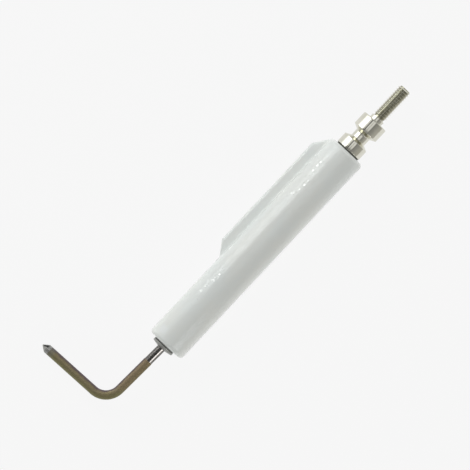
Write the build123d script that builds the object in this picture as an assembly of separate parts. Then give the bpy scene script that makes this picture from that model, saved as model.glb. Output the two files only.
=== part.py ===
from build123d import *

import os
from math import asin, atan2, cos, degrees, hypot, radians, sin, tan

# Ignition electrode of a burner: a ceramic insulator with a rib along one side, a metal rod
# through it whose free end is bent over and ground to a point, and a turned terminal with a
# threaded stud for the high-voltage lead.
#
# Frame, in millimetres. The origin is the centre of the ceramic's electrode-end face, +X runs
# along the ceramic to the terminal, and +Z is up. The electrode lies on a flat surface, on its
# ceramic and on the end of its arm. Each piece is drawn with the rib and the arm in the XY plane,
# on the +Y side, and is then rolled about X by rest_roll, which brings the arm down to the surface.

# ---- driving dimensions ------------------------------------------------------------------------

# Ceramic insulator
insulator_diameter = 11.8
insulator_length = 73.9
insulator_end_radius = 1.2
bore_diameter = 3.6
bore_chamfer = 0.25

# Rib along one side of the ceramic, with a ramp at each end
rib_width = 4.4
rib_height = 8.8            # from the ceramic's axis to the rib's outer face
rib_full_start = 32.4       # the rib has its full height from here
rib_ramp_angle = 35.0       # degrees from the ceramic's axis, at both ends
rib_root_radius = 0.5
rib_corner_radius = 1.1
rib_ramp_radius = 0.6       # rounds each ramp into the rib and into the ceramic

# Electrode rod: ground where it passes through the ceramic, heat-stained outside
ground_rod_diameter = 2.5
rod_diameter = 2.65
ground_stretch = 6.5        # how far the ground stretch stands out of the ceramic
rod_exit_offset = 0.25      # the rod leans over in its bore by this much at the ceramic's end face
lean_start = 4.0            # the lean begins this far inside the terminal end
rod_exit_lean = 2.1         # degrees, outside the ceramic
arm_position = 22.7         # from the ceramic's end face to the corner of the bend
arm_tip_height = 25.55      # from the ceramic's axis to the point
arm_lean = 1.4              # degrees away from the ceramic
bend_radius = 5.4           # of the rod's centreline
point_length = 1.73
point_flat_diameter = 0.16
lean_arc_radius = 300.0     # eases the small turn inside the bore
exit_arc_radius = 60.0      # eases the small turn at the ceramic's end face

# Sealing washers under the push-on washer and under the terminal
gasket_hole_diameter = 2.7
lower_gasket_diameter = 6.7
lower_gasket_thickness = 0.45
terminal_gasket_diameter = 7.6
terminal_gasket_thickness = 0.4

# Push-on washer: a shallow cup of sheet metal with slots that leave gripping tabs
push_washer_diameter = 6.8
push_washer_sheet = 0.3
push_washer_rim = 0.55
push_washer_height = 0.95
push_washer_hole_diameter = 2.6
push_washer_tabs = 6
push_washer_slot_width = 0.3
push_washer_slot_circle = 4.4
push_washer_edge_radius = 0.15

# Terminal: two collars with a waist between them, then a plain shank and a threaded stud
collar_diameter = 8.0
waist_diameter = 4.7
lower_collar_length = 3.12
upper_collar_length = 4.2
waist_length = 2.12
cone_length = 0.83          # each side of the waist
socket_depth = 9.0
rod_engagement = 8.5
seat_edge_radius = 0.15     # where the lower collar meets its gasket
cone_edge_radius = 0.25
waist_fillet_radius = 0.4
collar_end_radius = 0.4
shank_diameter = 4.1
shank_length = 1.2
relief_length = 0.4         # groove between the shank and the thread
relief_diameter = 3.1

# Stud thread: No. 8-32, right-hand
thread_crest_diameter = 4.08
thread_root_diameter = 3.2
thread_pitch = 25.4 / 32
thread_crest_width = 0.1
thread_flank_angle = 30.0   # degrees, each side
stud_length = 10.66         # thread and end chamfer
stud_chamfer = 0.6
thread_sink = 0.12          # the ridge reaches this far into its core
core_seam_turn = 90.0       # degrees between the core's seam and the start of the ridge

# ---- places worked out from the dimensions -----------------------------------------------------

insulator_radius = insulator_diameter / 2
rod_radius = rod_diameter / 2
arm_base_height = arm_tip_height - point_length * cos(radians(arm_lean))

# The roll at which the arm's end is as low as the ceramic: d sin(a) + r cos(a) = R
reach = hypot(arm_base_height, rod_radius)
rest_roll = degrees(asin(insulator_radius / reach) - atan2(rod_radius, arm_base_height))

terminal_seat = insulator_length + terminal_gasket_thickness
lower_collar_end = terminal_seat + lower_collar_length
waist_start = lower_collar_end + cone_length
waist_end = waist_start + waist_length
upper_collar_start = waist_end + cone_length
lead_seat = upper_collar_start + upper_collar_length
shank_end = lead_seat + shank_length
thread_start = shank_end + relief_length
stud_end = thread_start + stud_length


def along_x(radius, start, end, height=0.0):
    """A round bar parallel to X, from start to end, with its axis at y = height."""
    return Plane((start, height, 0), z_dir=(1, 0, 0)) * Pos(0, 0, (end - start) / 2) * Cylinder(
        radius, end - start
    )


def round_corner(outline, place, radius):
    """The flat outline with its corner at place, an (x, y) pair, rounded."""
    corner = outline.vertices().sort_by_distance(Vector(*place, 0))[0]
    return fillet(corner, radius)


def turned(points, rounded, axis_height=0.0):
    """A turned solid from an outline of (x, radius) points; rounded maps a point's index to its radius."""
    outline = make_face(Polyline(*points, close=True))
    for index, radius in rounded.items():
        outline = round_corner(outline, points[index], radius)
    return Pos(0, axis_height, 0) * revolve(outline, Axis.X, 360)


# ---- ceramic insulator -------------------------------------------------------------------------


def insulator_section():
    """The ceramic's section across X: a circle with the rib standing out of it."""
    section = Circle(insulator_radius) + Pos(rib_height / 2, 0) * Rectangle(rib_height, rib_width)
    half_width = rib_width / 2
    root_height = (insulator_radius**2 - half_width**2) ** 0.5
    for side in (-half_width, half_width):
        section = round_corner(section, (rib_height, side), rib_corner_radius)
        section = round_corner(section, (root_height, side), rib_root_radius)
    return section


def insulator_envelope():
    """What the section is cut back to along X: the rib's ramps and the rounded end faces."""
    ramp_run = (rib_height - insulator_radius) / tan(radians(rib_ramp_angle))
    arc_centre = (insulator_length - insulator_end_radius, insulator_radius - insulator_end_radius)
    ramp_touch = (
        arc_centre[0] + insulator_end_radius * sin(radians(rib_ramp_angle)),
        arc_centre[1] + insulator_end_radius * cos(radians(rib_ramp_angle)),
    )
    slope = tan(radians(rib_ramp_angle))
    rib_full_end = ramp_touch[0] - (rib_height - ramp_touch[1]) / slope
    ramp_end_height = ramp_touch[1] - (insulator_length - ramp_touch[0]) * slope
    points = [
        (0, 0),
        (0, insulator_radius),
        (rib_full_start - ramp_run, insulator_radius),
        (rib_full_start, rib_height),
        (rib_full_end, rib_height),
        (insulator_length, ramp_end_height),
        (insulator_length, 0),
    ]
    rounded = {
        1: insulator_end_radius,
        2: rib_ramp_radius,
        3: rib_ramp_radius,
        4: rib_ramp_radius,
        5: insulator_end_radius,
    }
    return turned(points, rounded)


def make_insulator():
    bar = extrude(Plane.YZ * insulator_section(), insulator_length)
    body = bar & insulator_envelope()
    bore_radius = bore_diameter / 2
    mouth_radius = bore_radius + bore_chamfer
    bore = turned(
        [
            (0, 0),
            (0, mouth_radius),
            (bore_chamfer, bore_radius),
            (insulator_length - bore_chamfer, bore_radius),
            (insulator_length, mouth_radius),
            (insulator_length, 0),
        ],
        {},
    )
    return body - bore


# ---- electrode rod -----------------------------------------------------------------------------


def swept_bar(points, radii, radius):
    """A round bar along straight runs joined by arcs, one radius for each corner."""
    path = FilletPolyline(*points, radius=radii) if radii else Line(*points)
    section = Plane(path @ 0, z_dir=path % 0) * Circle(radius)
    return sweep(section, path)


def exit_line_height(distance):
    """Height of the rod's centreline at a distance outside the ceramic's end face."""
    return rod_exit_offset + distance * tan(radians(rod_exit_lean))


def make_electrode_rod():
    rod_top = (terminal_seat + rod_engagement, 0)
    lean_point = (insulator_length - lean_start, 0)
    exit_point = (0, rod_exit_offset)
    step_point = (-ground_stretch, exit_line_height(ground_stretch))
    corner = (-arm_position, exit_line_height(arm_position))
    arm_x = -arm_position - (arm_base_height - corner[1]) * tan(radians(arm_lean))
    arm_base = (arm_x, arm_base_height)
    ground = swept_bar(
        [rod_top, lean_point, exit_point, step_point],
        [lean_arc_radius, exit_arc_radius],
        ground_rod_diameter / 2,
    )
    stained = swept_bar([step_point, corner, arm_base], [bend_radius], rod_radius)
    arm_direction = (-sin(radians(arm_lean)), cos(radians(arm_lean)), 0)
    point = Plane((*arm_base, 0), z_dir=arm_direction) * Pos(0, 0, point_length / 2) * Cone(
        rod_radius, point_flat_diameter / 2, point_length
    )
    return ground + stained + point


# ---- washers -----------------------------------------------------------------------------------


def make_gasket(diameter, start, thickness, height):
    outer = along_x(diameter / 2, start, start + thickness, height)
    return outer - along_x(gasket_hole_diameter / 2, start, start + thickness, height)


def make_push_washer():
    """The washer sits on the lower gasket, centred on the rod, with its dome away from the ceramic."""
    seat = -lower_gasket_thickness
    hole = push_washer_hole_diameter / 2
    rim = push_washer_diameter / 2
    top = seat - push_washer_height
    cup = turned(
        [
            (seat, rim),
            (seat - push_washer_rim, rim),
            (top, hole + push_washer_sheet),
            (top, hole),
            (top + push_washer_sheet, hole),
            (seat - push_washer_rim + push_washer_sheet, rim - push_washer_sheet),
            (seat, rim - push_washer_sheet),
        ],
        {1: push_washer_edge_radius},
        rod_exit_offset,
    )
    slot_reach = push_washer_slot_circle / 2
    slot_blank = Box(2 * push_washer_height, slot_reach, push_washer_slot_width)
    for index in range(push_washer_tabs):
        turn = Rot(X=360 * (index + 0.5) / push_washer_tabs)
        cup -= Pos(top, rod_exit_offset, 0) * turn * Pos(0, slot_reach / 2, 0) * slot_blank
    return cup


# ---- terminal ----------------------------------------------------------------------------------


def thread_ridge():
    """The helical ridge of the stud's thread along Z, one pitch longer than the stud at each end."""
    root = thread_root_diameter / 2
    crest = thread_crest_diameter / 2
    spread = tan(radians(thread_flank_angle))
    half_crest = thread_crest_width / 2
    half_sunk = half_crest + (crest - root + thread_sink) * spread
    helix = Helix(thread_pitch, stud_length + 2 * thread_pitch, root)
    start = helix @ 0
    tooth = make_face(
        Polyline(
            (root - thread_sink, 0, -half_sunk),
            (crest, 0, -half_crest),
            (crest, 0, half_crest),
            (root - thread_sink, 0, half_sunk),
            close=True,
        )
    )
    ridge = sweep(Pos(start.X - root, start.Y, start.Z) * tooth, helix, is_frenet=True)
    return Pos(0, 0, -thread_pitch) * ridge


def make_threaded_stud():
    """The threaded stretch along Z from the relief groove, with a chamfer at each end."""
    crest = thread_crest_diameter / 2
    relief = relief_diameter / 2
    clear = crest + thread_sink
    core_length = stud_length + 2 * thread_pitch
    core = Rot(Z=core_seam_turn) * Cylinder(thread_root_diameter / 2, core_length)
    rod = Pos(0, 0, stud_length - core_length / 2) * core + thread_ridge()
    outline = [
        (0, 0, 0),
        (relief, 0, 0),
        (clear, 0, clear - relief),
        (clear, 0, stud_length - stud_chamfer - thread_sink),
        (crest - stud_chamfer, 0, stud_length),
        (0, 0, stud_length),
    ]
    return rod & revolve(make_face(Polyline(*outline, close=True)), Axis.Z, 360)


def make_terminal():
    collar = collar_diameter / 2
    waist = waist_diameter / 2
    shank = shank_diameter / 2
    relief = relief_diameter / 2
    body = turned(
        [
            (terminal_seat, 0),
            (terminal_seat, collar),
            (lower_collar_end, collar),
            (waist_start, waist),
            (waist_end, waist),
            (upper_collar_start, collar),
            (lead_seat, collar),
            (lead_seat, shank),
            (shank_end, shank),
            (shank_end, relief),
            (thread_start, relief),
            (thread_start, 0),
        ],
        {
            1: seat_edge_radius,
            2: cone_edge_radius,
            3: waist_fillet_radius,
            4: waist_fillet_radius,
            5: cone_edge_radius,
            6: collar_end_radius,
        },
    )
    stud = Plane((thread_start, 0, 0), z_dir=(1, 0, 0)) * make_threaded_stud()
    socket = along_x(ground_rod_diameter / 2, terminal_seat, terminal_seat + socket_depth)
    return body + stud - socket


# ---- assembly ----------------------------------------------------------------------------------

lower_gasket = make_gasket(
    lower_gasket_diameter, -lower_gasket_thickness, lower_gasket_thickness, rod_exit_offset
)
terminal_gasket = make_gasket(terminal_gasket_diameter, insulator_length, terminal_gasket_thickness, 0.0)

pieces = {
    "insulator": make_insulator(),
    "electrode_rod": make_electrode_rod(),
    "lower_gasket": lower_gasket,
    "push_on_washer": make_push_washer(),
    "terminal_gasket": terminal_gasket,
    "terminal": make_terminal(),
}

os.makedirs("parts", exist_ok=True)
for name, piece in pieces.items():
    export_step(Rot(X=-rest_roll) * piece, f"parts/{name}.step")
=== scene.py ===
import math

import bmesh
import bpy
from mathutils import Matrix, Vector, noise


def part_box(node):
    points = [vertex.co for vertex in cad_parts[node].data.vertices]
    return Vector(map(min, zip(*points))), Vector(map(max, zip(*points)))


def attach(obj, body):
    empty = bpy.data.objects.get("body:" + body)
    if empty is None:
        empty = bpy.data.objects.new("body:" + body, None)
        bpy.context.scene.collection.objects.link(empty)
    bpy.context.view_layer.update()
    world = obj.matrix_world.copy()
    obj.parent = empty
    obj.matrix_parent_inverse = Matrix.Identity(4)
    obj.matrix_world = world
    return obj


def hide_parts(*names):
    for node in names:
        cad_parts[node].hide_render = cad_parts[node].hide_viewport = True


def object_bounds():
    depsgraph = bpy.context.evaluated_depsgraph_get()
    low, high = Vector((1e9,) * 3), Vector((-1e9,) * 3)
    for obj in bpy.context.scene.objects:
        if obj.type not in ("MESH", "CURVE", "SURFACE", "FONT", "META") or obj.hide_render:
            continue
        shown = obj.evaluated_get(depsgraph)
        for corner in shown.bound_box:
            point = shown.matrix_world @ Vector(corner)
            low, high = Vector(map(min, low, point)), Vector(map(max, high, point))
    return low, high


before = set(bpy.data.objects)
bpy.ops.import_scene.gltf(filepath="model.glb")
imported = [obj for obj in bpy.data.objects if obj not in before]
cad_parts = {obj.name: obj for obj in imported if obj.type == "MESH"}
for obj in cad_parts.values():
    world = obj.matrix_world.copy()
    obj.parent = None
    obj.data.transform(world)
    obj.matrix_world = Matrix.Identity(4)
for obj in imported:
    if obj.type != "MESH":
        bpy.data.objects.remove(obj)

# Ignition electrode, lying on a pale floor as it comes to rest: on its ceramic and on the end of
# its bent arm. Lengths are in millimetres unless a name or a comment says otherwise, and MM turns
# them into Blender's metres. Rolled pieces are drawn with the arm and the rib in the XY plane, as
# the CAD model draws them, and roll() then turns them about X onto the floor.

cad_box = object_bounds()
MM = 0.001
TINY = 1e-6
BODY = "root"
SMOOTH_UNDER = math.radians(28)


def node_box(name):
    """The lowest and highest corner of a CAD node, in millimetres."""
    low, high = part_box(name)
    return low / MM, high / MM


# ---- places from the frame ---------------------------------------------------------------------

insulator_low, insulator_high = node_box("insulator")
terminal_low, terminal_high = node_box("terminal")

insulator_length = insulator_high.x
insulator_radius = -insulator_low.z
terminal_seat = terminal_low.x
stud_end = terminal_high.x
floor_height = insulator_low.z

# ---- sizes of the drawn shapes, as in the CAD model --------------------------------------------

bore_radius = 1.8
bore_chamfer = 0.25
insulator_end_radius = 1.2
rib_half_width = 2.2
rib_height = 8.8            # from the ceramic's axis to the rib's outer face
rib_full_start = 32.4       # the rib has its full height from here
rib_ramp = math.radians(35)
rib_corner_radius = 1.1
rib_ramp_radius = 0.6

ground_rod_radius = 1.25
rod_radius = 1.325
ground_stretch = 6.5        # how far the ground stretch stands out of the ceramic
rod_exit_offset = 0.25      # how far the rod's centre is off the ceramic's axis at its end face
rod_exit_lean = math.radians(2.1)
lean_start = 4.0            # the lean begins this far inside the terminal end
lean_arc_radius = 300       # eases the small turn inside the bore
exit_arc_radius = 60        # eases the small turn at the ceramic's end face
arm_position = 22.7
arm_tip_height = 25.55
arm_lean = math.radians(1.4)
bend_radius = 5.4
point_length = 1.73
point_flat_radius = 0.08
rod_engagement = 8.5
arm_base_height = arm_tip_height - point_length * math.cos(arm_lean)

gasket_hole_radius = 1.35
push_washer_sheet = 0.3
push_washer_rim = 0.55
push_washer_hole_radius = 1.3
push_washer_tabs = 6
push_washer_slot_half_width = 0.15
push_washer_slot_radius = 2.2

collar_radius = 4.0
waist_radius = 2.35
lower_collar_length = 3.12
upper_collar_length = 4.2
waist_length = 2.12
cone_length = 0.83
socket_depth = 9.0
seat_edge_radius = 0.15
cone_edge_radius = 0.25
waist_fillet_radius = 0.4
collar_end_radius = 0.4
shank_radius = 2.05
shank_length = 1.2
relief_length = 0.4
relief_radius = 1.55
crest_radius = 2.04
root_radius = 1.6
thread_pitch = 25.4 / 32
thread_flank_angle = math.radians(30)
stud_chamfer = 0.6

lower_collar_end = terminal_seat + lower_collar_length
waist_start = lower_collar_end + cone_length
waist_end = waist_start + waist_length
upper_collar_start = waist_end + cone_length
lead_seat = upper_collar_start + upper_collar_length
shank_end = lead_seat + shank_length
thread_start = shank_end + relief_length

# The roll that brings the arm's end down to the level of the ceramic's underside
rest_roll = math.asin(insulator_radius / math.hypot(arm_base_height, rod_radius)) - math.atan2(
    rod_radius, arm_base_height
)


def roll(point):
    """From the drawn frame to the row frame."""
    x, y, z = point
    cos_roll, sin_roll = math.cos(rest_roll), math.sin(rest_roll)
    return Vector((x, y * cos_roll + z * sin_roll, z * cos_roll - y * sin_roll))


def unrolled(point):
    """For a piece that is round about X, which needs no roll."""
    return Vector(point)


# ---- mesh helpers ------------------------------------------------------------------------------


def clamped(value, low=0.0, high=1.0):
    return min(high, max(low, value))


def turned(vector, angle):
    """A flat vector turned anticlockwise."""
    cos_a, sin_a = math.cos(angle), math.sin(angle)
    return Vector((vector.x * cos_a - vector.y * sin_a, vector.x * sin_a + vector.y * cos_a))


def rounded(points, radii, turn_step=math.radians(9)):
    """A flat outline with its corners rounded: radii maps a point's index to its radius."""
    outline = []
    for index, place in enumerate(points):
        corner = Vector(place)
        radius = radii.get(index, 0)
        if not radius:
            outline.append(corner)
            continue
        before = (Vector(points[index - 1]) - corner).normalized()
        after = (Vector(points[index + 1]) - corner).normalized()
        half = before.angle(after) / 2
        reach = radius / math.tan(half)
        centre = corner + (before + after).normalized() * (radius / math.sin(half))
        start = corner + before * reach - centre
        sweep = start.angle_signed(corner + after * reach - centre)
        steps = max(2, math.ceil(abs(sweep) / turn_step))
        outline += [centre + turned(start, -sweep * step / steps) for step in range(steps + 1)]
    return outline


def divided(outline, longest):
    """The outline with its straight stretches cut into runs no longer than longest."""
    cut = [outline[0]]
    for start, end in zip(outline, outline[1:]):
        count = max(1, math.ceil((end - start).length / longest))
        cut += [start.lerp(end, step / count) for step in range(1, count + 1)]
    return cut


def angles_round(columns):
    return [2 * math.pi * column / columns for column in range(columns)]


def circle(x, radius, columns, height=0.0):
    """A ring round an axis parallel to X; radius may be a function of the angle."""
    ring = []
    for angle in angles_round(columns):
        r = radius(angle) if callable(radius) else radius
        ring.append(Vector((x, height + r * math.cos(angle), r * math.sin(angle))))
    return ring


def skin(name, rings, placed, first_pole=None, last_pole=None):
    """A closed mesh over rings of equal length. Without poles, the last ring joins the first."""
    count = len(rings[0])
    points = [p for ring in rings for p in ring]
    faces = []
    pairs = list(zip(range(len(rings) - 1), range(1, len(rings))))
    if first_pole is None:
        pairs.append((len(rings) - 1, 0))
    for a, b in pairs:
        for i in range(count):
            j = (i + 1) % count
            faces.append((a * count + i, a * count + j, b * count + j, b * count + i))
    for pole, ring, outward in ((first_pole, 0, False), (last_pole, len(rings) - 1, True)):
        if pole is None:
            continue
        points.append(pole)
        tip = len(points) - 1
        for i in range(count):
            j = (i + 1) % count
            edge = (ring * count + i, ring * count + j)
            faces.append((*edge, tip) if outward else (*edge[::-1], tip))
    return finish_piece(name, points, faces, placed)


def finish_piece(name, points, faces, placed):
    """A smooth-shaded object from points in millimetres: faces outward, sharp edges kept sharp."""
    mesh = bpy.data.meshes.new(name)
    mesh.from_pydata([placed(p) * MM for p in points], [], faces)
    mesh.validate()
    shell = bmesh.new()
    shell.from_mesh(mesh)
    bmesh.ops.recalc_face_normals(shell, faces=shell.faces)
    shell.to_mesh(mesh)
    shell.free()
    mesh.shade_smooth()
    mesh.set_sharp_from_angle(angle=SMOOTH_UNDER)
    piece = bpy.data.objects.new(name, mesh)
    bpy.context.scene.collection.objects.link(piece)
    return piece


def give_points(piece, name, values):
    """Stores a value at each point of a piece, for its material to read by name."""
    attribute = piece.data.attributes.new(name, "FLOAT", "POINT")
    attribute.data.foreach_set("value", values)


def stands_for(piece, node, material):
    """Joins a finished piece to the frame and gives it its material."""
    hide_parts(node)
    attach(piece, BODY)
    piece.data.materials.append(material)
    return piece


# ---- material helpers --------------------------------------------------------------------------


class Nodes:
    """A node tree, with short calls to add nodes and wire them."""

    def __init__(self, tree):
        self.tree = tree

    def add(self, kind, inputs=None, **settings):
        node = self.tree.nodes.new(kind)
        for name, value in settings.items():
            setattr(node, name, value)
        for key, value in (inputs or {}).items():
            self.wire(value, node.inputs[key])
        return node

    def wire(self, value, socket):
        if isinstance(value, bpy.types.NodeSocket):
            self.tree.links.new(value, socket)
        else:
            socket.default_value = value

    def math(self, operation, first, second=0.0, third=0.0, clamp=False):
        node = self.add("ShaderNodeMath", {0: first, 1: second, 2: third}, operation=operation)
        node.use_clamp = clamp
        return node.outputs[0]

    def remap(self, value, low, high, to_low=0.0, to_high=1.0):
        inputs = {"Value": value, 1: low, 2: high, 3: to_low, 4: to_high}
        return self.add("ShaderNodeMapRange", inputs, interpolation_type="SMOOTHSTEP").outputs[0]

    def blend(self, factor, first, second):
        inputs = {"Factor": factor, 6: first, 7: second}
        return self.add("ShaderNodeMix", inputs, data_type="RGBA").outputs[2]


class Shading(Nodes):
    """A material, with patterns placed on its object in millimetres."""

    def __init__(self, name, **constants):
        self.material = bpy.data.materials.new(name)
        self.material.use_nodes = True
        super().__init__(self.material.node_tree)
        self.shader = self.tree.nodes["Principled BSDF"]
        for socket, value in constants.items():
            self.shader.inputs[socket.replace("_", " ")].default_value = value
        self.place = self.add("ShaderNodeTexCoord").outputs["Object"]

    def noise(self, size, detail=3.0, roughness=0.5, stretch=(1, 1, 1)):
        """Noise whose features are about size millimetres across, stretched along an axis."""
        place = self.place
        if stretch != (1, 1, 1):
            scale = tuple(1 / s for s in stretch)
            place = self.add("ShaderNodeMapping", {"Vector": place, "Scale": scale}).outputs[0]
        inputs = {"Vector": place, "Scale": 1 / (size * MM), "Detail": detail, "Roughness": roughness}
        return self.add("ShaderNodeTexNoise", inputs).outputs["Fac"]

    def patches(self, size, to_low=0.0, to_high=1.0, detail=3.0, roughness=0.5):
        """Soft-edged patches of two levels, about size millimetres across."""
        return self.remap(self.noise(size, detail, roughness), 0.3, 0.7, to_low, to_high)

    def along(self, axis, start, end, wander=None, amount=0.0):
        """0 before start and 1 after end along an axis, in millimetres; wander shifts the border."""
        parts = self.add("ShaderNodeSeparateXYZ", {0: self.place})
        value = parts.outputs[axis]
        if wander is not None:
            shift = self.math("MULTIPLY_ADD", wander, 2 * amount * MM, -amount * MM)
            value = self.math("ADD", value, shift)
        return self.remap(value, start * MM, end * MM)

    def window(self, axis, start, end, soft, wander):
        """1 between start and end along an axis, in millimetres, with soft uneven borders."""
        rise = self.along(axis, start - soft, start + soft, wander, soft)
        fall = self.along(axis, end - soft, end + soft, wander, soft)
        return self.math("SUBTRACT", rise, fall, clamp=True)

    def point_value(self, name):
        """What give_points() has stored under a name."""
        return self.add("ShaderNodeAttribute", attribute_name=name).outputs["Fac"]

    def bump(self, height, depth, below=None):
        """Relief of depth millimetres for a height from 0 to 1."""
        inputs = {"Height": height, "Distance": depth * MM, "Strength": 1.0}
        if below is not None:
            inputs["Normal"] = below
        return self.add("ShaderNodeBump", inputs).outputs[0]

    def finish(self, **sockets):
        """Wires values to the shader's sockets and gives the material."""
        for name, value in sockets.items():
            self.wire(value, self.shader.inputs[name.replace("_", " ")])
        return self.material


# ---- ceramic insulator -------------------------------------------------------------------------

ceramic_inset = 0.004       # the ripple of the surface stays inside the CAD model by this much
ceramic_ripple = 0.004
broad_wave = (9, 5, 5)      # size of the ripple's waves along X, Y and Z
fine_wave = (3, 2, 2)
rib_zone = math.radians(60)     # the rib and its root lie within this angle of its middle
rib_draft = math.radians(2.5)
rib_root_softness = 0.6
ceramic_ring_spacing = 0.45

# Where the section is drawn, as angles from the middle of the rib: close together on its sides
section_angles = [math.radians(2 * step) for step in range(6)]
section_angles += [math.radians(12 + 0.25 * step) for step in range(57)]
section_angles += [math.radians(29 + 151 * step / 44) for step in range(45)]
section_angles += [-angle for angle in section_angles[-2:0:-1]]


def rib_outline(angle, top):
    """Distance from the axis to the rib's outline, for a rib whose outer face stands at top."""
    slope = math.tan(rib_draft)
    corner = Vector((top - rib_corner_radius, rib_half_width - rib_corner_radius))
    corner.y -= max(0.0, corner.x - insulator_radius) * slope
    half_width = corner.y + rib_corner_radius
    angle = abs(angle)
    if math.tan(angle) * top <= corner.y:
        return top / math.cos(angle)
    if angle >= math.atan2(half_width, corner.x):
        return (half_width + corner.x * slope) / (math.sin(angle) + math.cos(angle) * slope)
    along_ray = corner.x * math.cos(angle) + corner.y * math.sin(angle)
    return along_ray + math.sqrt(max(0.0, rib_corner_radius**2 - corner.length_squared + along_ray**2))


def insulator_ring(x, limit):
    """The ceramic's section at x, cut back to limit: a circle with the rib standing on it."""
    top = min(limit, rib_height)
    ring = []
    for angle in section_angles:
        radius = insulator_radius
        if abs(angle) < rib_zone:
            rib = rib_outline(angle, top)
            share = clamped(0.5 + 0.5 * (rib - radius) / rib_root_softness)
            radius += (rib - radius) * share + rib_root_softness * share * (1 - share)
        radius = min(radius, limit)
        ring.append(Vector((x, radius * math.cos(angle), radius * math.sin(angle))))
    return ring


def insulator_envelope():
    """The radius that the section is cut back to, as (x, radius) points from end to end."""
    slope = math.tan(rib_ramp)
    arc_x = insulator_length - insulator_end_radius
    arc_y = insulator_radius - insulator_end_radius
    touch_x = arc_x + insulator_end_radius * math.sin(rib_ramp)
    touch_y = arc_y + insulator_end_radius * math.cos(rib_ramp)
    touch = Vector((touch_x, touch_y))
    full_end = touch.x - (rib_height - touch.y) / slope
    points = [
        (0, bore_radius + bore_chamfer),
        (0, insulator_radius),
        (rib_full_start - (rib_height - insulator_radius) / slope, insulator_radius),
        (rib_full_start, rib_height),
        (full_end, rib_height),
        (insulator_length, touch.y - (insulator_length - touch.x) * slope),
        (insulator_length, bore_radius + bore_chamfer),
    ]
    radii = dict.fromkeys((1, 5), insulator_end_radius) | dict.fromkeys((2, 3, 4), rib_ramp_radius)
    return divided(rounded(points, radii), ceramic_ring_spacing)


def wave_at(point, size):
    return noise.noise(Vector([value / length for value, length in zip(point, size)]))


def rippled(point):
    """A point of the ceramic moved slightly in or out, as a fired and glazed surface is."""
    x, y, z = point
    wave = wave_at(point, broad_wave) + 0.5 * wave_at(point, fine_wave)
    scale = 1 - (ceramic_inset - ceramic_ripple * clamped(wave, -1.0)) / math.hypot(y, z)
    return Vector((x, y * scale, z * scale))


def make_insulator(material):
    rings = [[rippled(point) for point in insulator_ring(x, limit)] for x, limit in insulator_envelope()]
    for x in (insulator_length - bore_chamfer, insulator_length / 2, bore_chamfer):
        rings.append(insulator_ring(x, bore_radius))
    piece = skin("insulator_body", rings, roll)
    return stands_for(piece, "insulator", material)


# ---- electrode rod -----------------------------------------------------------------------------

rod_columns = 48
ground_spacing = 4.0        # between the rod's rings, on its hidden and ground stretch
stained_spacing = 0.5       # the same on its stained stretch
rod_end_chamfer = 0.15      # at the end inside the terminal
point_shares = (0.02, 0.1, 0.2, 0.4, 0.6, 0.8, 0.92)    # where the point's rings stand on its length
scale_depth = 0.006         # mean depth of the relief that heat scale leaves
scale_grain = 0.6           # its patches to the millimetre
scale_shift = Vector((7, 3, 1))
INNER_SIDE = "inner_side"   # 1 along the side that faces into the bend, -1 along the outer side
DARK_REFLECTION = "dark_reflection"             # 1 where a dark reflection is painted on one side of the ground point, 0 elsewhere
dark_reflection_width = 5             # in columns of the rod
# The first column of the painted dark reflection, by ring counted back from the tip
dark_reflection_columns = {3: 8, 4: 7, 5: 6, 6: 6, 7: 6, 8: 6}


def bent_path(corners, radii, spacing, turn_step=math.radians(3)):
    """Points and directions along straight runs joined by arcs, in the drawn XY plane."""
    path = divided(rounded(corners, radii, turn_step), spacing)
    stations = []
    for index, point in enumerate(path):
        before = path[max(index - 1, 0)]
        after = path[min(index + 1, len(path) - 1)]
        stations.append((point, (after - before).normalized()))
    return stations


def rod_ring(station, radius):
    """A ring round the rod's centreline, from the side that faces into the bend."""
    point, direction = station
    side = Vector((direction.y, -direction.x))
    ring = []
    for angle in angles_round(rod_columns):
        x = point.x + side.x * radius * math.cos(angle)
        y = point.y + side.y * radius * math.cos(angle)
        ring.append(Vector((x, y, radius * math.sin(angle))))
    return ring


def exit_height(distance):
    """Height of the rod's centreline at a distance outside the ceramic's end face."""
    return rod_exit_offset + distance * math.tan(rod_exit_lean)


def scale_relief(point):
    """How far heat scale stands below the drawn surface of the stained rod."""
    coarse = noise.noise(Vector((point.x, point.y, 0)) * scale_grain + scale_shift)
    return scale_depth + scale_depth * coarse


def rod_paths():
    """The rod's stations from the terminal to the end of the ground stretch, and on to its point."""
    top = (terminal_seat + rod_engagement, 0)
    lean_point = (insulator_length - lean_start, 0)
    exit_point = (0, rod_exit_offset)
    step_point = (-ground_stretch, exit_height(ground_stretch))
    corner = (-arm_position, exit_height(arm_position))
    arm_x = -arm_position - (arm_base_height - corner[1]) * math.tan(arm_lean)
    easing = {1: lean_arc_radius, 2: exit_arc_radius}
    ground = bent_path([top, lean_point, exit_point, step_point], easing, ground_spacing)
    stain_and_inner_shade = bent_path([step_point, corner, (arm_x, arm_base_height)], {1: bend_radius}, stained_spacing)
    return ground, stain_and_inner_shade


def rod_rings(ground, stain_and_inner_shade):
    """Rings from the chamfered end inside the terminal to the ground point."""
    end, inward = ground[0]
    rings = [rod_ring(ground[0], ground_rod_radius - rod_end_chamfer)]
    rings.append(rod_ring((end + inward * rod_end_chamfer, inward), ground_rod_radius))
    rings += [rod_ring(station, ground_rod_radius) for station in ground[1:]]
    rings += [rod_ring(station, rod_radius - scale_relief(station[0])) for station in stain_and_inner_shade]
    base, direction = stain_and_inner_shade[-1]
    for share in point_shares:
        radius = rod_radius + (point_flat_radius - rod_radius) * share
        rings.append(rod_ring((base + direction * point_length * share, direction), radius))
    return rings


def dark_reflection_values(ring_count):
    """1 at the points of the painted dark reflection and 0 at the rod's others, with its two poles last.
    """
    values = [0.0] * (ring_count * rod_columns + 2)
    for ring_from_tip, first_column in dark_reflection_columns.items():
        first = (ring_count - ring_from_tip) * rod_columns + first_column
        values[first : first + dark_reflection_width] = [1.0] * dark_reflection_width
    return values


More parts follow.
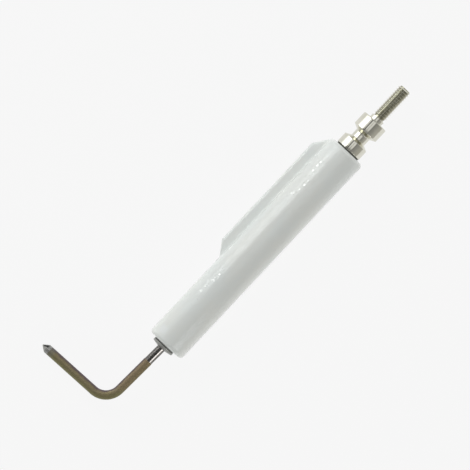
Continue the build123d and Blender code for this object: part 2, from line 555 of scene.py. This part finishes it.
def make_rod(material):
    ground, stain_and_inner_shade = rod_paths()
    rings = rod_rings(ground, stain_and_inner_shade)
    base, direction = stain_and_inner_shade[-1]
    end, tip = ground[0][0], base + direction * point_length
    poles = {"first_pole": Vector((*end, 0)), "last_pole": Vector((*tip, 0))}
    piece = skin("electrode_rod_bar", rings, roll, **poles)
    inner_side = [math.cos(angle) for angle in angles_round(rod_columns)]
    give_points(piece, INNER_SIDE, inner_side * len(rings) + [0.0, 0.0])
    give_points(piece, DARK_REFLECTION, dark_reflection_values(len(rings)))
    return stands_for(piece, "electrode_rod", material)


# ---- washers -----------------------------------------------------------------------------------

gasket_columns = 96
gasket_edge = 0.1           # width of the bevel round its edge
gasket_unevenness = 0.03
gasket_lumps = 3            # how quickly its edge wanders on the way round
washer_rim_radius = 0.18    # rounds the push-on washer's shoulder
washer_edge_radius = 0.1    # rounds it inside, and where its dome meets the edge of its hole
tab_columns = 12            # columns of points on each tab of the push-on washer
washer_columns = push_washer_tabs * tab_columns


def uneven_edge(radius, phase):
    """A radius that wanders inwards on the way round; each phase wanders in its own way."""

    def radius_at(angle):
        place = Vector((gasket_lumps * math.cos(angle), gasket_lumps * math.sin(angle), phase))
        return radius - gasket_unevenness - gasket_unevenness * noise.noise(place)

    return radius_at


def make_gasket(node, height, material):
    """A thin fibre washer with a soft, slightly uneven edge."""
    low, high = node_box(node)
    outer = (high.z - low.z) / 2
    profile = (
        (low.x, gasket_hole_radius),
        (low.x, uneven_edge(outer - gasket_edge, 0)),
        (low.x + gasket_edge, uneven_edge(outer, 1)),
        (high.x - gasket_edge, uneven_edge(outer, 2)),
        (high.x, uneven_edge(outer - gasket_edge, 3)),
        (high.x, gasket_hole_radius),
    )
    rings = [circle(x, radius, gasket_columns, height) for x, radius in profile]
    piece = skin(node + "_ring", rings, roll)
    return stands_for(piece, node, material)


def split_at(profile, radius):
    """The (x, radius) profile with a point added where it passes a radius."""
    cut = []
    for start, end in zip(profile, profile[1:]):
        cut.append(start)
        if (start[1] - radius) * (end[1] - radius) < 0:
            cut.append(start.lerp(end, (radius - start[1]) / (end[1] - start[1])))
            cut[-1][1] = radius
    cut.append(profile[-1])
    return cut


def push_washer_profiles():
    """The washer's outer and inner outline, as (x, radius) points from its rim to its hole."""
    low, high = node_box("push_on_washer")
    seat, top = high.x, low.x
    rim = (high.z - low.z) / 2
    sheet = push_washer_sheet
    hole = push_washer_hole_radius
    shoulder = seat - push_washer_rim
    turn_step = math.radians(15)
    outer = [(seat, rim), (shoulder, rim), (top, hole + sheet), (top, hole)]
    outer = rounded(outer, {1: washer_rim_radius, 2: washer_edge_radius}, turn_step)
    inner_shade = [(seat, rim - sheet), (shoulder + sheet, rim - sheet), (top + sheet, hole)]
    inner_shade = rounded(inner_shade, {1: washer_edge_radius}, turn_step)
    return split_at(outer, push_washer_slot_radius), split_at(inner_shade, push_washer_slot_radius)


def washer_point(x, radius, column):
    """The first and last column of each tab stand a slot's half width from the slot's middle."""
    tab, place = divmod(column, tab_columns)
    pitch = 2 * math.pi / push_washer_tabs
    margin = math.asin(push_washer_slot_half_width / radius)
    angle = tab * pitch + margin + (pitch - 2 * margin) * place / (tab_columns - 1)
    return Vector((x, rod_exit_offset + radius * math.cos(angle), radius * math.sin(angle)))


def band(first, second, across_slots, on_tabs=True):
    """Faces between two rows of the washer's points: across its slots, on its tabs, or both."""
    faces = []
    for column in range(washer_columns):
        after = (column + 1) % washer_columns
        wanted = across_slots if after % tab_columns == 0 else on_tabs
        if wanted:
            faces.append((first[column], first[after], second[after], second[column]))
    return faces


def outline_bands(profile, rows):
    """Bands along an outline; those that the slots reach leave the slots open."""
    faces = []
    for start, end, first, second in zip(profile, profile[1:], rows, rows[1:]):
        faces += band(first, second, across_slots=max(start[1], end[1]) > push_washer_slot_radius + TINY)
    return faces


def slotted_rows(profile, rows):
    """The rows of points along the sides of the slots, from the slots' ends to the hole."""
    return [row for place, row in zip(profile, rows) if place[1] < push_washer_slot_radius + TINY]


def make_push_washer(material):
    """A shallow dished cup: a full rim, then tabs between slots that run in from the hole."""
    outer, inner_shade = push_washer_profiles()
    columns = range(washer_columns)
    points = [washer_point(x, radius, column) for x, radius in outer + inner_shade for column in columns]
    rows = [[level * washer_columns + column for column in columns] for level in range(len(outer + inner_shade))]
    outer_rows, inner_rows = rows[: len(outer)], rows[len(outer) :]
    faces = outline_bands(outer[::-1], outer_rows[::-1])
    faces += outline_bands(inner_shade, inner_rows)
    faces += band(inner_rows[0], outer_rows[0], across_slots=True)
    faces += band(outer_rows[-1], inner_rows[-1], across_slots=False)
    outside, inside = slotted_rows(outer, outer_rows), slotted_rows(inner_shade, inner_rows)
    faces += band(outside[0], inside[0], across_slots=True, on_tabs=False)
    for tab in range(push_washer_tabs):
        for column in (tab * tab_columns, (tab + 1) * tab_columns - 1):
            faces.append([row[column] for row in outside + inside[::-1]])
    piece = finish_piece("push_on_washer_cup", points, faces, roll)
    return stands_for(piece, "push_on_washer", material)


# ---- terminal ----------------------------------------------------------------------------------

terminal_columns = 96
thread_steps = 280          # rings along the thread
crest_half_width = thread_pitch / 16
shank_foot_radius = 0.08
shank_chamfer = 0.1
GROOVE = "groove"           # 0 on the crests of the thread and 1 at the bottom of its groove
groove_margin = 0.01        # takes in the rings at the shank's end, leaves out the stud's last ring


def thread_radius(x, angle):
    """The stud's radius: a right-hand 60 degree thread with a chamfer at each end."""
    turns = (x - thread_start) / thread_pitch - angle / (2 * math.pi)
    from_crest = abs(turns - math.floor(turns) - 0.5) * thread_pitch
    ridge = crest_radius - max(0.0, from_crest - crest_half_width) / math.tan(thread_flank_angle)
    start_chamfer = relief_radius + (x - thread_start)
    end_chamfer = crest_radius - stud_chamfer + (stud_end - x)
    return min(max(ridge, root_radius), start_chamfer, end_chamfer)


def terminal_rings():
    """Rings from the bottom of the socket, round the collars and out along the thread."""
    points = [
        (terminal_seat + socket_depth, ground_rod_radius),
        (terminal_seat, ground_rod_radius),
        (terminal_seat, collar_radius),
        (lower_collar_end, collar_radius),
        (waist_start, waist_radius),
        (waist_end, waist_radius),
        (upper_collar_start, collar_radius),
        (lead_seat, collar_radius),
        (lead_seat, shank_radius),
        (shank_end - shank_chamfer, shank_radius),
        (shank_end, shank_radius - shank_chamfer),
        (shank_end, relief_radius),
        (thread_start, relief_radius),
    ]
    radii = {
        2: seat_edge_radius,
        3: cone_edge_radius,
        4: waist_fillet_radius,
        5: waist_fillet_radius,
        6: cone_edge_radius,
        7: collar_end_radius,
        8: shank_foot_radius,
    }
    profile = rounded(points, radii, math.radians(12))
    rings = [circle(x, radius, terminal_columns) for x, radius in profile]
    for step in range(1, thread_steps + 1):
        x = thread_start + (stud_end - thread_start) * step / thread_steps
        rings.append(circle(x, lambda angle, x=x: thread_radius(x, angle), terminal_columns))
    return rings


def groove_depth(point):
    """How deep a point of the terminal lies in the thread's groove, from 0 to 1."""
    x, y, z = point
    if not shank_end - groove_margin < x < stud_end - groove_margin:
        return 0.0
    return clamped((crest_radius - math.hypot(y, z)) / (crest_radius - root_radius))


def make_terminal(material):
    rings = terminal_rings()
    poles = {
        "first_pole": Vector((terminal_seat + socket_depth, 0, 0)),
        "last_pole": Vector((stud_end, 0, 0)),
    }
    piece = skin("terminal_body", rings, unrolled, **poles)
    give_points(piece, GROOVE, [groove_depth(point) for ring in rings for point in ring] + [0.0, 0.0])
    return stands_for(piece, "terminal", material)


# ---- materials ---------------------------------------------------------------------------------

glaze_rise = (2.0, 36.0)            # along X: the glaze grows smoother from here to there
glaze_fall = (66.0, 74.0)           # and duller again
unglazed_roughness = 0.262          # the render shows a ring round the ceramic if this passes 0.27
glaze_smoothing = -0.13
speck_stretches = ((14.0, 26.0, 1.5), (53.0, 70.0, 2.0))    # along X, with the softness of the ends
speck_side = (1.7, 3.6)             # along Y, beside the rib where the key light is mirrored
speck_spacing = 0.85
# Where the glaze drop lies, painted paler as a highlight
glaze_drop_highlight_place = {"X": (2.0, 4.0), "Y": (2.4, 4.3)}
point_grinding = 0.95               # the rod is ground bright from this far before its point's base


def ceramic_material():
    """White ceramic, slightly translucent: glazed over the ribbed stretch, duller near both ends."""
    s = Shading(
        "white_ceramic",
        IOR=1.5,
        Subsurface_Weight=0.4,
        Subsurface_Radius=(1.0, 1.0, 1.0),
        Subsurface_Scale=0.9 * MM,
        Coat_IOR=2.4,
    )
    border = s.noise(3.0, 4.0)
    glazed_to = s.along("X", *glaze_fall, border, 0.6)
    glaze = s.math("SUBTRACT", s.along("X", *glaze_rise), glazed_to, clamp=True)
    mottle = s.remap(s.noise(7.0, roughness=0.6, stretch=(2.5, 1, 1)), 0.35, 0.65)
    cool, warm = (0.905, 0.962, 0.922, 1), (0.92, 0.96, 0.905, 1)
    body = s.blend(mottle, cool, warm)
    polished = s.remap(s.noise(2.2, roughness=0.6), 0.35, 0.7, -0.03, 0.0)
    roughness = s.math("ADD", s.math("MULTIPLY_ADD", glaze, glaze_smoothing, unglazed_roughness), polished)
    # Specks in the glaze, with painted glints: paler colour and a hard coat, placed only beside the rib
    # where the key light is mirrored; and shallow pits
    cells = s.add("ShaderNodeTexVoronoi", {"Vector": s.place, "Scale": 1 / (speck_spacing * MM)})
    chance = s.add("ShaderNodeSeparateColor", {0: cells.outputs["Color"]})
    start, end = (s.window("X", *stretch, border) for stretch in speck_stretches)
    speckled = s.math("MULTIPLY", s.math("MAXIMUM", start, end), s.window("Y", *speck_side, 0.3, border))
    dots = s.math("MULTIPLY", s.remap(cells.outputs["Distance"], 0.14, 0.49, 1.0, 0.0), speckled)
    pits = s.math("MULTIPLY", dots, s.remap(chance.outputs[0], 0.8, 0.9))
    painted_glints = s.math("MULTIPLY", dots, s.remap(chance.outputs[1], 0.52, 0.62))
    peel = s.bump(s.noise(1.1, roughness=0.55, stretch=(2.0, 1, 1)), 0.012)
    normal = s.bump(pits, 0.02, peel)
    # A drop of glaze near the electrode's end, painted paler on the key-lit side as a painted highlight
    highlight_along, highlight_across = (s.window(axis, *span, 0.5, border) for axis, span in glaze_drop_highlight_place.items())
    glaze_drop_highlight = s.math("MULTIPLY", highlight_along, highlight_across)
    color = s.blend(s.math("MAXIMUM", glaze_drop_highlight, painted_glints), body, (0.95, 1.0, 0.97, 1))
    return s.finish(Base_Color=color, Roughness=roughness, Normal=normal, Coat_Weight=painted_glints)


def rod_color(s, drift, near_point, point_start):
    """Brown scale, olive outside and a darker purple inside the bend as painted shade, paler where the
    point is ground, with a painted dark reflection on one side of the point.
    """
    wandering = s.math("MULTIPLY_ADD", s.noise(1.5), 0.5, s.point_value(INNER_SIDE))
    outer = s.remap(wandering, -0.75, 0.45, 1.0, 0.0)
    # Painted shade: the side that faces into the bend is darkened to purple; the brown and olive are the
    # heat stain
    inner_shade = s.remap(wandering, 0.6, 1.05)
    on_run = s.along("X", -19.0, -16.0, drift, 1.0)
    blotches = s.patches(2.6, detail=4.0, roughness=0.6)
    brown = s.blend(blotches, (0.255, 0.215, 0.11, 1), (0.265, 0.22, 0.135, 1))
    brown = s.blend(on_run, brown, (0.295, 0.228, 0.14, 1))
    olive = s.blend(on_run, (0.25, 0.235, 0.11, 1), (0.25, 0.20, 0.105, 1))
    stain_and_inner_shade = s.blend(inner_shade, s.blend(outer, brown, olive), (0.13, 0.095, 0.105, 1))
    fine = s.remap(s.noise(0.5, 4.0, 0.7), 0.3, 0.75, 0.0, 0.3)
    scaled = s.blend(fine, stain_and_inner_shade, (0.15, 0.125, 0.075, 1))
    greyed = s.along("Y", point_start - 2.3, point_start - 0.5, drift, 0.3)
    scaled = s.blend(s.math("MULTIPLY", greyed, 0.55), scaled, (0.20, 0.20, 0.18, 1))
    ground = s.blend(near_point, scaled, (0.37, 0.37, 0.35, 1))
    # Painted dark reflection: one side of the ground point is made nearly black
    return s.blend(s.point_value(DARK_REFLECTION), ground, (0.02, 0.02, 0.02, 1))


def rod_material():
    """Heat-stained alloy, ground bright beside the washer and at the point."""
    s = Shading("heat_stained_rod", Specular_Tint=(0.55, 0.55, 0.55, 1))
    drift = s.noise(0.8)
    near_washer = s.along("X", -ground_stretch - 0.12, -ground_stretch + 0.08, drift, 0.12)
    point_start = (arm_base_height - point_grinding) * math.cos(rest_roll)
    near_point = s.along("Y", point_start - 0.12, point_start + 0.12, drift, 0.1)
    outside = rod_color(s, drift, near_point, point_start)
    color = s.blend(near_washer, outside, (0.20, 0.19, 0.18, 1))
    satin = s.math("MULTIPLY_ADD", near_point, -0.08, s.patches(0.7, 0.44, 0.54))
    satin = s.math("MULTIPLY", satin, s.math("SUBTRACT", 1.0, near_washer))
    roughness = s.math("MULTIPLY_ADD", s.patches(0.3, 0.1, 0.16), near_washer, satin)
    bare = s.math("MAXIMUM", near_washer, s.math("MULTIPLY", near_point, 0.4))
    metallic = s.math("MULTIPLY_ADD", bare, 0.65, 0.35)
    grain = s.bump(s.noise(0.25, 4.0, 0.6), 0.006)
    return s.finish(Base_Color=color, Roughness=roughness, Metallic=metallic, Normal=grain)


def nickel_material():
    """Bright turned nickel plate, with fine lathe rings and painted shade darkening the thread grooves."""
    s = Shading("nickel_plate", Metallic=1.0)
    tarnish = s.remap(s.noise(2.0, roughness=0.6), 0.35, 0.7)
    bright = s.blend(tarnish, (0.72, 0.705, 0.625, 1), (0.67, 0.66, 0.57, 1))
    # Painted shade: a darker, slightly glossier colour towards the bottoms of the thread's grooves
    groove = s.remap(s.point_value(GROOVE), 0.3, 0.85)
    groove_shade = s.math("MULTIPLY", groove, s.patches(0.8, 0.75, 1.0))
    color = s.blend(groove_shade, bright, (0.33, 0.32, 0.235, 1))
    roughness = s.math("MULTIPLY_ADD", groove_shade, -0.03, s.patches(0.9, 0.08, 0.13))
    lathe_rings = s.bump(s.noise(0.07, 2.0, stretch=(1, 60, 60)), 0.0012)
    return s.finish(Base_Color=color, Roughness=roughness, Normal=lathe_rings)


def washer_material():
    """Dull spring steel."""
    s = Shading("spring_steel", Metallic=0.5)
    color = s.blend(s.patches(0.9, roughness=0.6), (0.32, 0.32, 0.30, 1), (0.42, 0.42, 0.405, 1))
    grain = s.bump(s.noise(0.2), 0.006)
    return s.finish(Base_Color=color, Roughness=s.patches(0.6, 0.40, 0.50), Normal=grain)


def gasket_material():
    """Dark pressed fibre, with a painted shadow of the push-on washer's rim on the lower gasket."""
    s = Shading("dark_fibre", Roughness=0.6)
    fleck = s.remap(s.noise(0.35, 4.0, 0.7), 0.35, 0.7)
    dark = s.blend(fleck, (0.06, 0.061, 0.055, 1), (0.11, 0.112, 0.102, 1))
    # Painted shadow: the lower gasket stays dark in a strip beside the push-on washer's rim and is paler
    # towards the ceramic
    beyond_rim_shadow = s.math("SUBTRACT", s.along("X", -0.27, -0.2, fleck, 0.02), s.along("X", 1.0, 2.0))
    color = s.blend(beyond_rim_shadow, dark, (0.34, 0.345, 0.33, 1))
    return s.finish(Base_Color=color, Normal=s.bump(s.noise(0.2, 4.0, 0.7), 0.02))


# ---- floor, lights and camera ------------------------------------------------------------------

floor_half_size = 4.0       # metres
floor_glow = 0.97

# Brightness of the room round the object's axis: by the sine of the angle from straight up,
# negative on the side away from the rib
room_levels = (
    (-1.0, 0.50), (-0.94, 0.46), (-0.83, 0.42), (-0.67, 0.34), (-0.5, 0.31), (-0.42, 0.30),
    (-0.2, 0.12), (0.0, 0.08), (0.4, 0.14), (0.77, 0.22), (1.0, 0.22),
)
room_shade_tint = (1.0, 0.985, 0.93)
room_end_level = 0.7
room_end_start = 0.7        # how far along X a direction leans before its brightness changes

white = (1, 1, 1)
key_color = (0.985, 1.0, 0.992)
key_span = (0.012, 0.40)
terminal_span = (0.015, 0.83)
# Each lamp's span along X in metres, its span of angles in degrees from straight up, its distance
# from the object's axis in metres, its radiance and its colour
lamps = (
    ("key_softbox", key_span, (39, 76), 0.7, 3.2, key_color),
    ("key_softbox_low", key_span, (76, 90), 0.7, 1.3, key_color),
    ("ceiling_panel_terminal", terminal_span, (-16, 2), 1.1, 0.74, white),
    ("ceiling_strip_terminal", terminal_span, (4, 15), 1.1, 0.85, white),
    ("ceiling_panel_rod", (-0.8, -0.15), (-16, 15), 1.1, 0.74, white),
    ("ceiling_panel_side", terminal_span, (24, 37), 1.1, 0.7, white),
    ("rod_card", (-0.02, -0.001), (-70, -35), 0.2, 6.0, white),
    ("fill_panel", (-0.4, 0.4), (-90, -60), 0.7, 0.2, white),
)

view_width = 0.1307         # what the picture spans at the object's height, in metres
camera_height = 3.0         # in metres
camera_turn = math.radians(46.84)
camera_aim = Vector((-0.93, -2.745, 0)) * MM    # from the middle of the CAD model's box
sensor_width = 36
camera_reach = 20           # in metres


def make_floor():
    """A pale floor that glows softly, so that shadows on it stay faint."""
    corners = ((-1, -1), (1, -1), (1, 1), (-1, 1))
    mesh = bpy.data.meshes.new("floor")
    points = [(x * floor_half_size, y * floor_half_size, floor_height * MM) for x, y in corners]
    mesh.from_pydata(points, [], [(0, 1, 2, 3)])
    floor = bpy.data.objects.new("floor", mesh)
    bpy.context.scene.collection.objects.link(floor)
    shading = Shading(
        "pale_floor",
        Base_Color=(0.04, 0.04, 0.04, 1),
        Roughness=1.0,
        Specular_IOR_Level=0.0,
        Emission_Color=(0.93, 0.93, 0.93, 1),
        Emission_Strength=floor_glow,
    )
    mesh.materials.append(shading.material)


def area_light(name, place, aim, size, radiance, color):
    """A rectangular lamp that faces aim, sized (along X, across) in metres."""
    lamp = bpy.data.lights.new(name, "AREA")
    lamp.shape = "RECTANGLE"
    lamp.size, lamp.size_y = size
    lamp.color = color
    lamp.energy = radiance * math.pi * size[0] * size[1]
    holder = bpy.data.objects.new(name, lamp)
    bpy.context.scene.collection.objects.link(holder)
    holder.location = place
    toward = (Vector(place) - Vector(aim)).normalized()
    across = toward.cross(Vector((1, 0, 0))).normalized()
    along = across.cross(toward).normalized()
    matrix = [(along[i], across[i], toward[i]) for i in range(3)]
    holder.rotation_euler = Matrix(matrix).to_euler()
    holder.visible_camera = False
    return holder


def side_panel(name, x_span, angle_span, distance, radiance, color):
    """A lamp parallel to the object's axis that spans a range of angles from straight up."""
    x = sum(x_span) / 2
    angle = math.radians(sum(angle_span) / 2)
    spread = math.radians(angle_span[1] - angle_span[0]) / 2
    place = (x, distance * math.sin(angle), distance * math.cos(angle))
    size = (x_span[1] - x_span[0], 2 * distance * math.tan(spread))
    return area_light(name, place, (x, 0, 0), size, radiance, color)


def make_room():
    """Soft light from all round, darker overhead, brighter along the object's own line."""
    world = bpy.data.worlds.new("studio")
    bpy.context.scene.world = world
    world.use_nodes = True
    room = Nodes(world.node_tree)
    direction = room.add("ShaderNodeTexCoord").outputs["Generated"]
    x, y, z = room.add("ShaderNodeSeparateXYZ", {0: direction}).outputs
    across = room.math("SQRT", room.math("MULTIPLY_ADD", y, y, room.math("MULTIPLY", z, z)))
    lean = room.math("DIVIDE", y, room.math("MAXIMUM", across, 0.001))
    ramp = room.add("ShaderNodeValToRGB", {0: room.math("MULTIPLY_ADD", lean, 0.5, 0.5)})
    stops = ramp.color_ramp.elements
    while len(stops) < len(room_levels):
        stops.new(0.5)
    for stop, (sine, level) in zip(stops, room_levels):
        stop.position = (sine + 1) / 2
        shade = max(0.0, -sine)
        stop.color = (*(level * (1 + (tint - 1) * shade) for tint in room_shade_tint), 1)
    toward_end = room.remap(room.math("ABSOLUTE", x), room_end_start, 1.0)
    end_color = (room_end_level, room_end_level, room_end_level, 1)
    light = room.blend(toward_end, ramp.outputs[0], end_color)
    room.wire(light, room.tree.nodes["Background"].inputs["Color"])


def make_lights():
    """The lamps: the rod's card is seen only as a reflection, and the fill isn't reflected."""
    made = {name: side_panel(name, *settings) for name, *settings in lamps}
    made["rod_card"].visible_diffuse = False
    made["fill_panel"].visible_glossy = False
    make_room()


def make_camera():
    """A long lens looking straight down, turned so that the ceramic runs up to the right."""
    low, high = cad_box
    target = (low + high) / 2 + camera_aim
    camera = bpy.data.objects.new("camera", bpy.data.cameras.new("camera"))
    bpy.context.scene.collection.objects.link(camera)
    camera.data.sensor_width = sensor_width
    camera.data.lens = sensor_width * camera_height / view_width
    camera.data.clip_end = camera_reach
    camera.location = (target.x, target.y, camera_height)
    camera.rotation_euler = (0, 0, -camera_turn)
    bpy.context.scene.camera = camera


# ---- the scene ---------------------------------------------------------------------------------

dark_fibre = gasket_material()
make_insulator(ceramic_material())
make_rod(rod_material())
make_gasket("lower_gasket", rod_exit_offset, dark_fibre)
make_gasket("terminal_gasket", 0, dark_fibre)
make_push_washer(washer_material())
make_terminal(nickel_material())
make_floor()
make_lights()
make_camera()
bpy.context.scene.view_settings.view_transform = "Standard"
